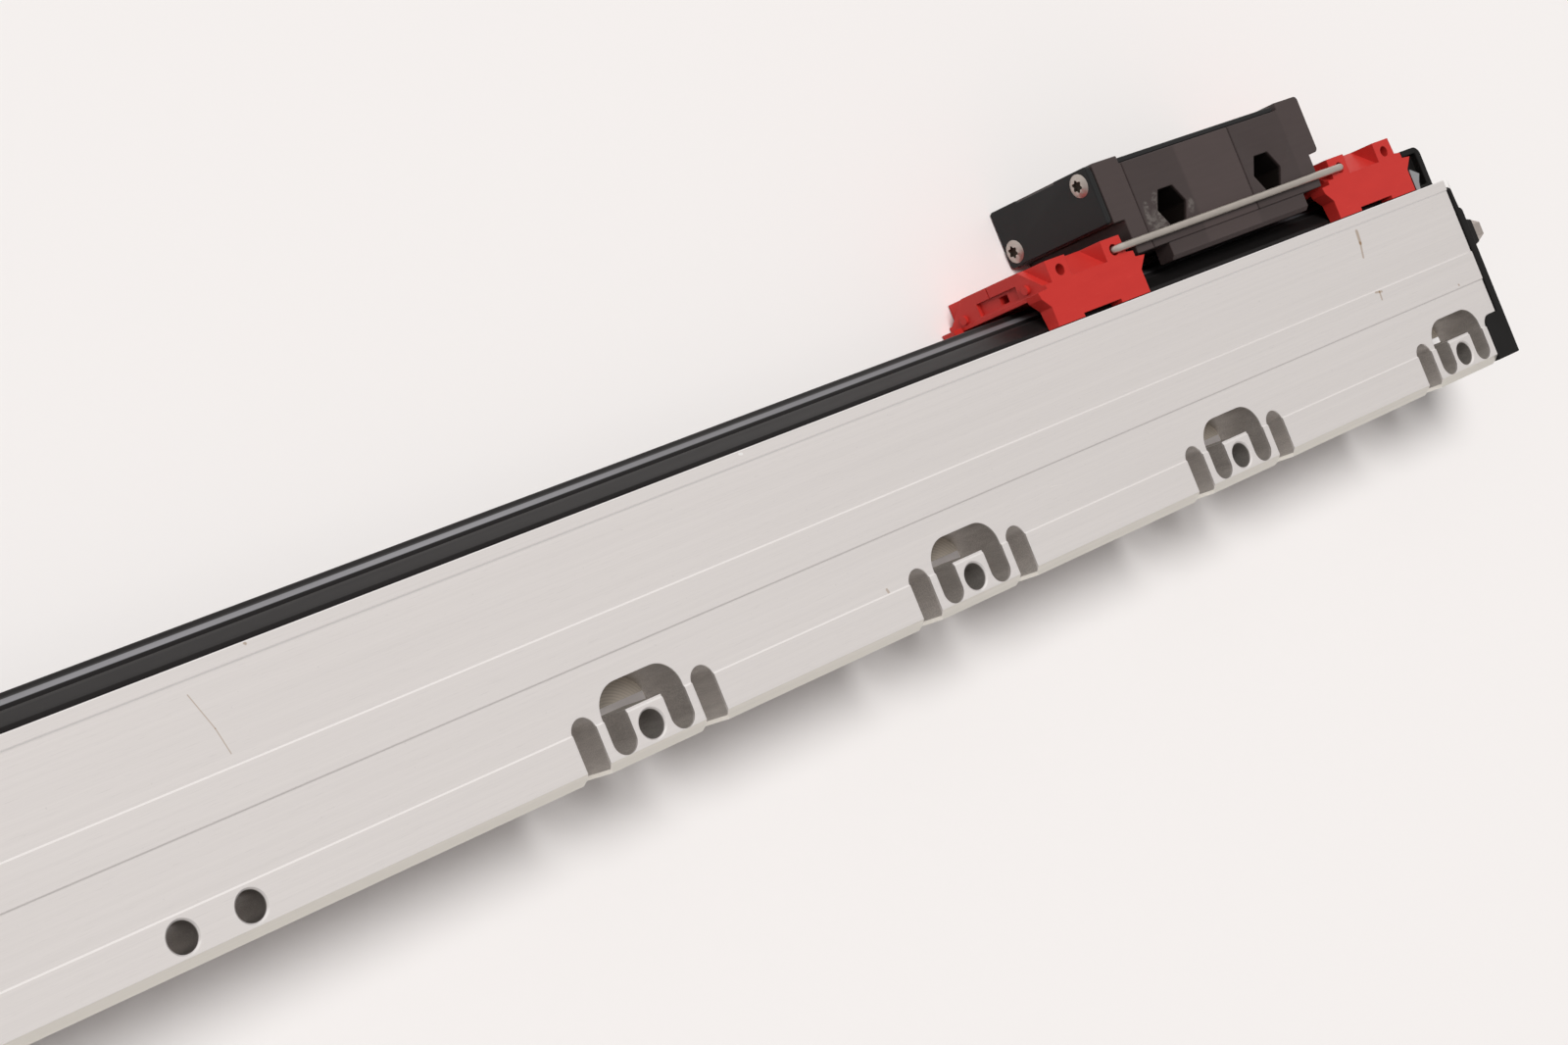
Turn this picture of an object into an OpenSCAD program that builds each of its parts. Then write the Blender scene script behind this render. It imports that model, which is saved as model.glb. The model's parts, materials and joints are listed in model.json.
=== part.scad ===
// Sealed linear glass scale: an extruded housing with a glass scale inside, and a scanning head that
// travels along it on a thin blade through two sealing lips. A red transport brace holds the head.
// X runs along the scale, Y from the flange towards the head, Z out of the mounting face.
// The origin is the middle of the central pair of mounting holes, on the mounting face.

/* [Housing] */
// Depth of the housing, from the mounting face to its back
body_depth = 37.5; // [36.5:0.5:42]
// Height of the top edge above the line of mounting holes
body_top = 46.8; // [46.4:0.1:50]
// Height of the underside of the closed body above the hole line
body_bottom = 6.4; // [5.8:0.1:6.6]
// Thickness of the long walls
wall = 3.5; // [3:0.1:3.9]
// Height of the cavity floor above the hole line
floor_top = 14.5; // [13.8:0.1:15.2]
// How far the flange reaches below the hole line
flange_drop = 6.1; // [5.5:0.1:8]
// Thickness of the mounting flange
flange_thick = 15; // [12:0.5:16]
// How far the mounting lands stand out of the face
land_relief = 0.3; // [0.2:0.05:0.5]

/* [Mounting holes] */
// Diameter of the mounting holes
hole_d = 6.4; // [5.5:0.1:7]
// Distance between the two rigid holes at the centre
centre_pair = 15; // [12:0.5:20]
// Pitch of the elastic mounting pockets
pocket_pitch = 100; // [80:1:120]
// Number of elastic pockets on each side of the centre
pocket_count = 4; // [1:1:6]
// Distance from the last mounting hole to the end of the housing
end_margin = 20; // [19.7:0.1:24]

/* [Elastic pockets] */
// Width of the two open relief slots
slot_w = 6.3; // [5.5:0.1:7]
// Distance from the hole to the middle of each relief slot
slot_offset = 16.5; // [16:0.1:17]
// Top of the relief slots above the hole line
slot_top = 7.25; // [6.5:0.25:8]
// Half width of the yoke cut-out around the hole
yoke_half = 11.2; // [10.5:0.1:11.4]
// Top of the yoke cut-out above the hole line
yoke_top = 11.5; // [10.5:0.1:12]
// Half width of the tongue that carries the hole
tongue_half = 4.9; // [4.6:0.1:5.4]
// Top of the tongue above the hole line
tongue_top = 5; // [4.5:0.1:5.4]
// Bottom of the yoke legs, measured below the hole line
leg_drop = 3.95; // [3.5:0.05:4.2]

/* [Scanning head] */
// Distance from the right brace block to the lip clips, where the head is parked
park_gap = 2.8; // [2.5:0.1:4]
// Length of the upper part of the mounting block
head_length = 85.4; // [84:0.2:90]
// Length of the lower part of the mounting block
head_lower_length = 77.2; // [74:0.2:78]
// Top of the mounting block above the hole line
head_top = 82.4; // [81.5:0.1:86]
// Underside of the upper part above the hole line
head_step = 66.3; // [65.8:0.1:66.6]
// Running gap between the housing and the underside of the mounting block
head_gap = 10.3; // [10:0.1:10.8]
// How much less deep the head is than the housing
head_inset = 0.3; // [0.2:0.1:0.8]
// Distance between the two bolts through the head
head_bolt_spacing = 40; // [36:0.5:44]
// Width across flats of the nut pockets
nut_flats = 10; // [9:0.1:10.6]
// Depth of the nut pockets
nut_depth = 21; // [10:0.5:24]

/* [Glass scale] */
// Thickness of the glass scale
glass_t = 4; // [3:0.1:4.4]
// Height of the top edge of the glass above the hole line
glass_top = 32; // [30:0.1:32.2]
// How far the glass stops short of each end of the housing
glass_margin = 27.5; // [20:0.5:35]
// Radius of the guide rollers
roller_r = 3; // [2.6:0.05:3.1]

/* [Transport brace] */
// Width of a brace block where it stands on the housing
block_w = 36; // [34:0.5:37]
// Distance from the lower part of the head to the foot of each block
block_play = 1.2; // [1:0.1:2]
// Height of a brace block above the housing
block_h = 16.5; // [16:0.1:17.5]
// Diameter of the locking wire
wire_d = 2; // [1.6:0.1:2.4]
// Length of the two legs of the locking wire inside the blocks
wire_leg = 30; // [15:0.5:33]

/* [Hidden] */
$fn = 64;
eps = 0.01;
seat = 0.1;                      // clearance of pieces that are assembled into a seat

first_hole = centre_pair / 2;
last_hole = first_hole + pocket_count * pocket_pitch;
half_length = last_hole + end_margin;
mid_z = -body_depth / 2;         // plane of the blade and of the slit between the lips

// Mounting lands: raised strips of the face, as [lower edge, upper edge]
flange_land_top = 4.2;
middle_land = [17.2, 25.2];
top_land_bottom = 44;
land_slope = 0.35;               // run of the slanted sides of the lands
flange_chamfer = 2.1;
back_corner_r = 1.5;
slot_flare = 0.7;                // how much the relief slots open out at the lower edge
cavity_r = 1.5;

// Shelves that carry the lips and close the top of the cavity
shelf_bottom = body_top - 8.3;
shelf_top = body_top - 2.6;
shelf_reach = 10;                // from the outside of the wall to the edge of the shelf
lip_wall = 4.2;                  // wall beside the lips
lip_undercut = 1;
undercut_h = 1.3;
pocket_depth = flange_thick + 0.2;

// Screw ports for the end caps, as [y, z]
port_r = 1.25;
port_depth = 14;
port_inset = 3.6;
port_points = [[body_top - 4.9, -port_inset], [body_top - 4.9, port_inset - body_depth],
    [(body_bottom + floor_top) / 2, port_inset - body_depth], [(body_bottom + floor_top) / 2, mid_z - 1]];

// End caps and their gaskets
gasket_t = 0.4;
gasket_bottom = slot_top + 0.15;
cap_t = 3;
cap_thin_t = 1.6;
cap_thin_from = body_top - 8.5;
cap_top = body_top - 2.1;
cap_inset = 0.4;                 // the cap's lower edge lies this much inside the flange's
cap_in = half_length + gasket_t;
cap_out = cap_in + cap_t;
hood_left = half_length - 4.8;
hood_right = half_length + 0.9;
hood_top = body_top + 11.9;
hood_inset = 6.5;
hood_r = 2.5;
hood_wall = 2.3;
hood_roof = 1.7;
nose_reach = 2.7;
nose_half = 7;
nose_bottom = body_top + 8.7;
air_y = 30.4;
air_z = -6.5;
air_boss_half = 4.75;            // half height of the boss where it leaves the cap
air_boss_end = 3.35;
air_boss_h = 5.2;
air_boss_deep = 4.1;
air_bore_r = 2.1;
plug_flats = 6.2;
plug_head_h = 4.3;
plug_shank = 6;
cap_screw_head_r = 2.75;
cap_screw_head_h = 2.4;
cap_screw_len = 10;

// Lips: heights are above the top edge, depths from the mounting face
lip_base_h = 1.3;
lip_slope = [9.5, 4.1];
crest_r = 0.9;
lip_gap = 1.6;                   // slit between the two lips, where the blade runs
crest_z = body_depth / 2 - lip_gap / 2 - crest_r;
crest_h = 6.9;
lip_end = hood_left - 0.1;
clip_inset = 10.4;               // from the end of the housing to the lip clips

// Scanning head
head_depth = body_depth - head_inset;
head_bottom = body_top + head_gap;
head_half = head_length / 2;
lower_half = head_lower_length / 2;
lug_length = 9.9;                // raised ends of the block, on both sides of the lid
lid_half = head_half - lug_length;
lid_t = 1.4;
lid_floor = head_top - 2;
head_corner_r = 1.2;
foot_ends = [-26, 30.8];
foot_set = 0.4;                  // step from the block's face back to the foot's
foot_depth = 5.7;
foot_bottom = head_bottom - 4.6;
foot_chamfer = 1;
bolt_y = head_bottom + 8.6;
nut_r = nut_flats / 2 / cos(30);
bay_bottom = bolt_y + nut_flats / 2 + 1.6;   // electronics bay above the nut pockets
bay_top = lid_floor - 1.8;
bay_wall = 6;
bay_end = head_half - 12;
seam_places = [0.6 - lid_half, 11.1];
seam_w = 0.3;
cover_gasket_t = 0.8;
cover_t = 1.7;
cover_in = -head_half - cover_gasket_t;
cover_out = cover_in - cover_t;
cover_screw_points = [[head_top - 4, -4.2], [head_step + 4.1, 3.5 - head_depth]];
cover_screw_r = 3.3;
cover_screw_h = 1.1;
socket_r = 6;
socket_y = (head_step + lid_floor) / 2;
socket_len = head_half - bay_end;
pin_circle = 3.2;
board_t = 1.6;

// Blade and coupling
blade_ends = [-10, 16];          // from the middle of the head
blade_t = 1.2;
blade_seat = 5;
blade_bottom = shelf_bottom - 0.1;
coupling_y = blade_bottom - 0.8;
coupling_wire_r = 0.5;
coupling_half = 18;

// Glass and carriage
glass_front = -12;
glass_back = glass_front - glass_t;
bond_t = 0.3;
groove_depth = 1.5;
glass_half = half_length - glass_margin;
roller_gap = 0.1;
roller_w = 2.4;
roller_bore = 1.03;
pin_r = 1;
roller_x = 20;
edge_y = glass_top + roller_r + roller_gap;
edge_z = (glass_front + glass_back) / 2;
face_z = glass_back - roller_r - roller_gap;
optics_y = 22;
face_places = [[-roller_x, 20], [roller_x, 20], [0, 30.2]];
carriage_half = 26;
carriage_bottom = floor_top + 2.5;
bridge_bottom = glass_top + 1.2;
bridge_top = bridge_bottom + 3.3;
arm_front = -wall - 1.5;
arm_front_back = glass_front + 1.2;
arm_back_front = glass_back - 1.2;
arm_back = -body_depth + wall + 3;
front_arm_half = 12;
led_r = 2.5;
lens_r = 3.9;
lens_depth = 2.2;
reticle = [12, 9, 1];
window = [10, 7];
cell_board = [16, 10, 1.2];

// Transport brace
block_gap = 0.2;
block_offset = lower_half + block_play + block_w / 2;   // from the middle of the head to a block's middle
head_x = half_length - clip_inset - park_gap - block_w / 2 - block_offset;   // middle of the parked head
block_base = body_top + block_gap;
block_top = body_top + block_h;
block_depth = head_depth;
cheek = 3.8;                     // thickness of the cheeks at their feet, and at the roof of the tunnel
cheek_top = 4.8;
cheek_back = 0.3;                // how much thinner the back cheek is, as the lips stand further back
tab_end = block_w / 2 - 2;       // end face of a block above its tabs, on the left
recess = [1, 3.3, 15];           // moulded recess in that face
recess_hole = [5, 2, 3];
peg_r = 1.2;
peg_h = 0.8;
peg_points = [[11.7, -6.8], [11.2, -30.8]];
parting_w = 0.3;
foot_notch_half = 7.1;
tunnel_top = body_top + 8.8;
wire_hole_r = 1.5;
wire_y = block_top - 3.2;
wire_hole_shift = 1;
wire_hole_half = 10.25;
wire_front = wire_d / 2 + 0.3;   // centre of the wire in front of the head's face
wire_bend_r = 2.5;

// An outline drawn in Y and Z, extruded along X from x0 to x1
module run_x(x0, x1) {
    translate([x0, 0, 0]) rotate([90, 0, 90]) linear_extrude(x1 - x0) children();
}

// An outline drawn in X and Y, extruded in depth from z0 up to z1
module run_z(z0, z1) {
    translate([0, 0, z0]) linear_extrude(z1 - z0) children();
}

// A rectangle given by two opposite corners
module span(a, b) {
    translate(a) square(b - a);
}

// A rectangle with all four corners rounded
module round_span(a, b, r) {
    span(a + [r, 0], b - [r, 0]);
    span(a + [0, r], b - [0, r]);
    for (x = [a.x + r, b.x - r], y = [a.y + r, b.y - r]) translate([x, y]) circle(r);
}

// What is cut off a square corner at the origin to round it; the solid lies towards +X and +Y
module round_off(r) {
    difference() {
        translate([-1, -1]) square(r + 1);
        translate([r, r]) circle(r);
    }
}

// Places its child at the right end, or mirrored at the left end
module at_end(side) {
    mirror([side < 0 ? 1 : 0, 0, 0]) children();
}

// ---- Housing ----

// Section of the shallow groove between two mounting lands
module groove(y0, y1) {
    lean = land_slope / land_relief;
    polygon([[y0 - lean, 1], [y0 + land_slope, -land_relief], [y1 - land_slope, -land_relief],
        [y1 + lean, 1]]);
}

module body_outline() {
    difference() {
        union() {
            span([body_bottom, -body_depth], [body_top, 0]);
            span([-flange_drop, -flange_thick], [body_bottom + 1, 0]);
        }
        groove(flange_land_top, middle_land[0]);
        groove(middle_land[1], top_land_bottom);
        translate([body_bottom, -body_depth]) round_off(back_corner_r);
        translate([body_top, -body_depth]) rotate(90) round_off(back_corner_r);
        polygon([[-flange_drop - 1, -flange_chamfer - 1], [-flange_drop - 1, 1],
            [-flange_drop + flange_chamfer + 1, 1]]);
    }
}

module cavity_outline() {
    round_span([floor_top, wall - body_depth], [shelf_bottom, -wall], cavity_r);
    span([shelf_bottom - 1, shelf_reach - body_depth], [body_top + 1, -shelf_reach]);
    span([shelf_top, lip_wall - body_depth], [body_top + 1, -lip_wall]);
    span([shelf_top, lip_wall - lip_undercut - body_depth],
        [shelf_top + undercut_h, lip_undercut - lip_wall]);
    span([floor_top - groove_depth, glass_back - bond_t], [floor_top + 1, glass_front + bond_t]);
}

module relief_slot(x) {
    mouth = slot_w / 2 + 2 * slot_flare;
    span([x - slot_w / 2, -flange_drop - 1], [x + slot_w / 2, slot_top - slot_w / 2]);
    translate([x, slot_top - slot_w / 2]) circle(slot_w / 2);
    translate([x, -flange_drop]) polygon([[-mouth, -1], [mouth, -1], [slot_w / 2, 1], [-slot_w / 2, 1]]);
}

module yoke() {
    leg_r = (yoke_half - tongue_half) / 2;
    arch_r = yoke_half - tongue_half;
    difference() {
        union() {
            span([-yoke_half, leg_r - leg_drop], [yoke_half, yoke_top - arch_r]);
            span([arch_r - yoke_half, 0], [yoke_half - arch_r, yoke_top]);
            for (s = [-1, 1]) {
                translate([s * (yoke_half - arch_r), yoke_top - arch_r]) circle(arch_r);
                translate([s * (yoke_half - leg_r), leg_r - leg_drop]) circle(leg_r);
            }
        }
        span([-tongue_half, -flange_drop], [tongue_half, tongue_top]);
    }
}

module mounting_hole() {
    translate([0, 0, -flange_thick - 1]) cylinder(d = hole_d, h = flange_thick + 2);
    translate([0, 0, -0.4]) cylinder(d1 = hole_d, d2 = hole_d + 1, h = 0.5);
}

module elastic_pockets() {
    for (s = [-1, 1], n = [1:pocket_count]) translate([s * (first_hole + n * pocket_pitch), 0, 0]) {
        run_z(-pocket_depth, 1) {
            yoke();
            relief_slot(-slot_offset);
            relief_slot(slot_offset);
        }
        mounting_hole();
    }
}

module housing() {
    color([0.78, 0.77, 0.75]) difference() {
        run_x(-half_length, half_length) difference() {
            body_outline();
            cavity_outline();
        }
        elastic_pockets();
        for (s = [-1, 1]) translate([s * first_hole, 0, 0]) mounting_hole();
        for (s = [-1, 1]) at_end(s) {
            run_z(-pocket_depth, 1)
                span([last_hole + slot_offset, -flange_drop - 1], [half_length + 1, slot_top]);
            for (p = port_points) translate([half_length - port_depth, p.x, p.y]) rotate([0, 90, 0])
                cylinder(r = port_r, h = port_depth + 1);
        }
    }
}

// ---- Scale and lips ----

module glass_scale() {
    color([0.75, 0.9, 0.88, 0.5]) run_x(-glass_half, glass_half)
        span([floor_top - groove_depth + bond_t, glass_back], [glass_top, glass_front]);
}

module scale_bond() {
    color([0.25, 0.25, 0.26]) run_x(-glass_half, glass_half) difference() {
        span([floor_top - groove_depth, glass_back - bond_t], [floor_top, glass_front + bond_t]);
        span([floor_top - groove_depth + bond_t, glass_back], [floor_top + 1, glass_front]);
    }
}

// Points of an arc about c, from angle a0 to a1 in the given number of steps
function arc(c, r, a0, a1, steps = 8) =
    [for (n = [0:steps]) let (a = a0 + (a1 - a0) * n / steps) c + r * [cos(a), sin(a)]];

// Section of the front lip, from its toe in the wall over the valley to the rounded crest
module lip_outline() {
    foot = -lip_wall - seat;
    toe = foot + lip_undercut;
    polygon(concat(
        [[shelf_top, -shelf_reach], [shelf_top, toe], [shelf_top + undercut_h - seat, toe],
            [shelf_top + undercut_h - seat, foot], [body_top + lip_base_h, foot],
            [body_top + lip_slope.y, -lip_slope.x]],
        arc([body_top + lip_slope.y + 1.2, -lip_slope.x - 1.8], 1.3, 170, 250, 4),
        arc([body_top + crest_h, -crest_z], crest_r, 60, -90),
        [[body_top + crest_h - 1.6, -crest_z - crest_r], [body_top + lip_slope.y - 1.6, -lip_slope.x - 3.2],
            [body_top + 1, -shelf_reach]]));
}

module lip_front() {
    color([0.13, 0.12, 0.12]) run_x(-lip_end, lip_end) lip_outline();
}

module lip_back() {
    color([0.13, 0.12, 0.12]) run_x(-lip_end, lip_end)
        translate([0, -body_depth]) mirror([0, 1]) lip_outline();
}

// ---- Ends ----

module cap_outline(top) {
    span([-flange_drop + cap_inset, -flange_thick], [body_bottom + 1, 0]);
    round_span([body_bottom, -body_depth], [top, 0], back_corner_r);
    span([body_bottom, -2 * back_corner_r], [top - back_corner_r, 0]);
}

// Wall and roof of the hood, which stand out around its core
module hood_rim() {
    difference() {
        union() {
            span([hood_right - hood_wall, body_top], [hood_right, hood_top]);
            span([hood_left - nose_reach, hood_top - hood_roof], [hood_right, hood_top]);
        }
        translate([hood_right, hood_top]) rotate(180) round_off(hood_r);
    }
}

module end_cap() {
    ear_left = last_hole + slot_offset - slot_w / 2 + seat;
    color([0.2, 0.19, 0.19]) difference() {
        union() {
            run_x(cap_in, cap_out) cap_outline(cap_thin_from);
            run_x(cap_in, cap_in + cap_thin_t) cap_outline(cap_top);
            run_z(-flange_thick, 0) difference() {
                span([ear_left, -flange_drop + cap_inset], [cap_in + eps, slot_top - seat]);
                translate([ear_left, slot_top - seat]) rotate(-90) round_off(slot_w / 2);
            }
            run_z(air_z - air_boss_deep, air_z + air_boss_deep) translate([cap_out, air_y])
                polygon([[-1, -air_boss_half], [0, -air_boss_half], [air_boss_h, -air_boss_end],
                    [air_boss_h, air_boss_end], [0, air_boss_half], [-1, air_boss_half]]);
            run_z(hood_inset - body_depth, -hood_inset) difference() {
                span([hood_left, body_top], [hood_right, hood_top]);
                translate([hood_right, hood_top]) rotate(180) round_off(hood_r);
            }
            run_z(mid_z - nose_half, mid_z + nose_half)
                span([hood_left - nose_reach, nose_bottom], [hood_left + 1, hood_top]);
            run_z(lip_wall + seat - body_depth, -lip_wall - seat) {
                hood_rim();
                span([hood_left, shelf_top + eps], [hood_right, body_top + 1]);
            }
        }
        translate([cap_in - 1, air_y, air_z]) rotate([0, 90, 0])
            cylinder(r = air_bore_r, h = cap_t + air_boss_h + 2);
        for (p = port_points) translate([cap_in - 1, p.x, p.y]) rotate([0, 90, 0])
            cylinder(r = port_r + 0.3, h = cap_t + 2);
    }
}

module end_cap_right() { end_cap(); }
module end_cap_left() { at_end(-1) end_cap(); }

module end_gasket() {
    color([0.1, 0.1, 0.1]) run_x(half_length, half_length + gasket_t) difference() {
        intersection() {
            span([gasket_bottom, -body_depth + 1], [shelf_top - 0.4, -1]);
            round_span([gasket_bottom, -body_depth + 1], [body_top, -1], back_corner_r);
        }
        round_span([floor_top, wall - body_depth], [shelf_bottom, -wall], cavity_r);
        for (p = port_points) translate(p) circle(port_r + 0.3);
    }
}

module end_gasket_right() { end_gasket(); }
module end_gasket_left() { at_end(-1) end_gasket(); }

// A domed screw along X with its head towards +X, seated at x = 0
module dome_screw(head_r, head_h, shank_r, shank_len, recess_r) {
    dome_r = (head_r * head_r + head_h * head_h) / 2 / head_h;
    rotate([0, 90, 0]) difference() {
        union() {
            translate([0, 0, -shank_len]) cylinder(r = shank_r, h = shank_len + eps);
            intersection() {
                cylinder(r = head_r, h = head_h);
                translate([0, 0, head_h - dome_r]) sphere(dome_r);
            }
        }
        translate([0, 0, head_h * 0.4]) {
            cylinder(r = recess_r, h = head_h);
            for (a = [0:60:300]) rotate(a) translate([recess_r, 0, 0])
                cylinder(r = recess_r * 0.33, h = head_h);
        }
    }
}

module cap_screws() {
    color([0.72, 0.72, 0.71]) for (s = [-1, 1]) at_end(s) for (p = port_points)
        translate([p.x > cap_thin_from ? cap_in + cap_thin_t : cap_out, p.x, p.y])
            dome_screw(cap_screw_head_r, cap_screw_head_h, port_r - 0.05, cap_screw_len, 1);
}

module air_plugs() {
    color([0.74, 0.72, 0.68]) for (s = [-1, 1]) at_end(s)
        translate([cap_out + air_boss_h, air_y, air_z]) rotate([0, 90, 0]) {
            rotate(30) cylinder(r = plug_flats / 2 / cos(30), h = plug_head_h, $fn = 6);
            translate([0, 0, -plug_shank]) cylinder(r = air_bore_r - 0.05, h = plug_shank + eps);
        }
}

// Bent leaf springs that hold the ends of the lips down, standing on the housing walls
module clip_leaf() {
    translate([half_length - clip_inset, body_top, 0])
        polygon([[-0.2, 0], [1.6, 0], [2.1, 2], [3.6, 4.2], [0.2, 6.2], [-0.2, 5.4]]);
}

module lip_clips() {
    leaf_in = lip_wall;
    leaf_out = 1.6;
    color([0.7, 0.72, 0.74]) for (s = [-1, 1]) at_end(s) {
        run_z(-leaf_in, -leaf_out) clip_leaf();
        run_z(leaf_out - body_depth, leaf_in - body_depth) clip_leaf();
    }
}

// ---- Scanning head ----

module block_front_outline() {
    difference() {
        union() {
            span([-head_half, head_step], [head_half, head_top]);
            span([-lower_half, head_bottom], [lower_half, head_step + 1]);
        }
        span([-lid_half, lid_floor], [lid_half, head_top + 1]);
        translate([head_half, head_top]) rotate(180) round_off(head_corner_r);
        translate([head_half, head_step]) rotate(90) round_off(head_corner_r);
        translate([-head_half, head_top]) rotate(-90) round_off(head_corner_r / 2);
    }
}

module mounting_block() {
    color([0.2, 0.19, 0.185]) translate([head_x, 0, 0]) difference() {
        union() {
            run_z(-head_depth, 0) block_front_outline();
            run_x(foot_ends[0], foot_ends[1]) translate([0, -foot_set])
                polygon([[head_bottom + 1, 0], [foot_bottom + foot_chamfer, 0], [foot_bottom, -foot_chamfer],
                    [foot_bottom, -foot_depth], [head_bottom + 1, -foot_depth]]);
        }
        for (s = [-1, 1]) translate([s * head_bolt_spacing / 2, bolt_y, 0]) {
            translate([0, 0, -head_depth - 1]) cylinder(d = hole_d, h = head_depth + 2);
            translate([0, 0, -nut_depth]) cylinder(r = nut_r, h = nut_depth + 1, $fn = 6);
        }
        run_x(-head_half - 1, bay_end)
            span([bay_bottom, bay_wall - head_depth], [bay_top, -bay_wall]);
        translate([bay_end - 1, socket_y, -head_depth / 2]) rotate([0, 90, 0])
            cylinder(r = socket_r, h = socket_len + 2);
        translate([blade_ends[0] - seat, head_bottom - 1, mid_z - blade_t / 2 - 0.05])
            cube([blade_ends[1] - blade_ends[0] + 2 * seat, blade_seat + 1, blade_t + 0.1]);
        for (x = seam_places) translate([x, head_bottom - 1, -0.2]) cube([seam_w, head_top, 1]);
        for (p = cover_screw_points) translate([-head_half - 1, p.x, p.y]) rotate([0, 90, 0])
            cylinder(r = port_r, h = 7);
    }
}

module head_lid() {
    pry_notch = 1.2;
    color([0.15, 0.145, 0.14]) translate([head_x, 0, 0]) run_x(-lid_half + seat, lid_half - pry_notch)
        round_span([lid_floor, seat * 5 - head_depth], [lid_floor + lid_t, -seat * 5], lid_t / 4);
}

module cover_outline() {
    difference() {
        round_span([head_step + 0.3, -head_depth], [head_top - 0.2, 0], 0.8);
        span([head_top - 0.7, -head_depth + 10], [head_top, -head_depth + 25]);
    }
}

module end_cover() {
    color([0.16, 0.155, 0.15]) translate([head_x, 0, 0]) difference() {
        run_x(cover_out, cover_in) cover_outline();
        for (p = cover_screw_points) translate([cover_out - 1, p.x, p.y]) rotate([0, 90, 0])
            cylinder(r = port_r + 0.3, h = cover_t + 2);
    }
}

module cover_gasket() {
    color([0.05, 0.05, 0.05]) translate([head_x, 0, 0]) run_x(cover_in, -head_half) difference() {
        round_span([head_step + 0.8, 0.5 - head_depth], [head_top - 1.2, -0.5], 0.8);
        span([bay_bottom, bay_wall - head_depth], [bay_top, -bay_wall]);
        for (p = cover_screw_points) translate(p) circle(port_r + 0.3);
    }
}

module cover_screws() {
    color([0.72, 0.7, 0.67]) for (p = cover_screw_points)
        translate([head_x + cover_out, p.x, p.y]) mirror([1, 0, 0])
            dome_screw(cover_screw_r, cover_screw_h, port_r - 0.05, 6, 1.3);
}

module cable_socket() {
    color([0.55, 0.55, 0.54]) translate([head_x + bay_end, socket_y, -head_depth / 2]) rotate([0, 90, 0])
        difference() {
            cylinder(r = socket_r - 0.05, h = socket_len);
            translate([0, 0, 4]) cylinder(r = socket_r - 1.2, h = socket_len);
            for (a = [0:45:315]) rotate(a) translate([pin_circle, 0, -1]) cylinder(r = 0.45, h = 6);
        }
}

module socket_pins() {
    color([0.85, 0.7, 0.35]) translate([head_x + bay_end, socket_y, -head_depth / 2]) rotate([0, 90, 0])
        for (a = [0:45:315]) rotate(a) translate([pin_circle, 0, -0.8]) cylinder(r = 0.45, h = 9.8);
}

module head_board() {
    board_x0 = -head_half + 1;
    board_x1 = bay_end - 2.2;
    color([0.1, 0.35, 0.2]) translate([head_x, 0, 0]) {
        translate([board_x0, bay_bottom, 1 + bay_wall - head_depth])
            cube([board_x1 - board_x0, board_t, head_depth - 2 * bay_wall - 2]);
        for (x = [-24, -4, 14]) translate([x, bay_bottom + board_t, mid_z - 4]) cube([9, 1.4, 9]);
    }
}

// ---- Blade, carriage and optics ----

module coupling_blade() {
    lug_w = 4;
    color([0.7, 0.7, 0.7]) translate([head_x, 0, 0]) run_z(mid_z - blade_t / 2, mid_z + blade_t / 2) {
        span([blade_ends[0], blade_bottom], [blade_ends[1], head_bottom + blade_seat]);
        span([blade_ends[0], coupling_y - 1], [blade_ends[0] + lug_w, blade_bottom + 2]);
    }
}

module coupling_wire() {
    color([0.8, 0.8, 0.8])
        translate([head_x + blade_ends[0] + 4, coupling_y, mid_z]) rotate([0, 90, 0])
            cylinder(r = coupling_wire_r, h = coupling_half - blade_ends[0] - 4);
}

module carriage() {
    color([0.3, 0.3, 0.32]) translate([head_x, 0, 0]) difference() {
        union() {
            translate([-carriage_half, bridge_bottom, arm_back])
                cube([2 * carriage_half, bridge_top - bridge_bottom, arm_front - arm_back]);
            translate([-front_arm_half, carriage_bottom, arm_front_back])
                cube([2 * front_arm_half, bridge_top - carriage_bottom, arm_front - arm_front_back]);
            translate([-carriage_half, carriage_bottom, arm_back])
                cube([2 * carriage_half, bridge_top - carriage_bottom, arm_back_front - arm_back]);
            translate([coupling_half, bridge_top - eps, mid_z - 1.5])
                cube([3, coupling_y + 0.9 - bridge_top, 3]);
        }
        for (s = [-1, 1]) {
            translate([s * roller_x - roller_r - 0.5, bridge_bottom - 3, edge_z - roller_w / 2 - 0.3])
                cube([2 * roller_r + 1, 10, roller_w + 0.6]);
            translate([s * roller_x, edge_y, edge_z - 5]) cylinder(r = pin_r, h = 10);
        }
        for (p = face_places) {
            translate([p.x - roller_r - 0.5, p.y - roller_w / 2 - 0.3, face_z - roller_r - 0.5])
                cube([2 * roller_r + 1, roller_w + 0.6, 2 * roller_r + 4]);
            translate([p.x, p.y - 4, face_z]) rotate([-90, 0, 0]) cylinder(r = pin_r, h = 8);
        }
        translate([-window.x / 2, optics_y - window.y / 2, arm_back - 1])
            cube([window.x, window.y, 30]);
        translate([-reticle.x / 2 - seat, optics_y - reticle.y / 2 - seat, arm_back_front - reticle.z + 0.4])
            cube([reticle.x + 2 * seat, reticle.y + 2 * seat, 5]);
        translate([0, optics_y, arm_front_back - 1]) cylinder(r = led_r + 0.05, h = 10);
        translate([0, optics_y, arm_front_back - 1]) cylinder(r = lens_r + 0.05, h = lens_depth + 1);
    }
}

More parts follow.
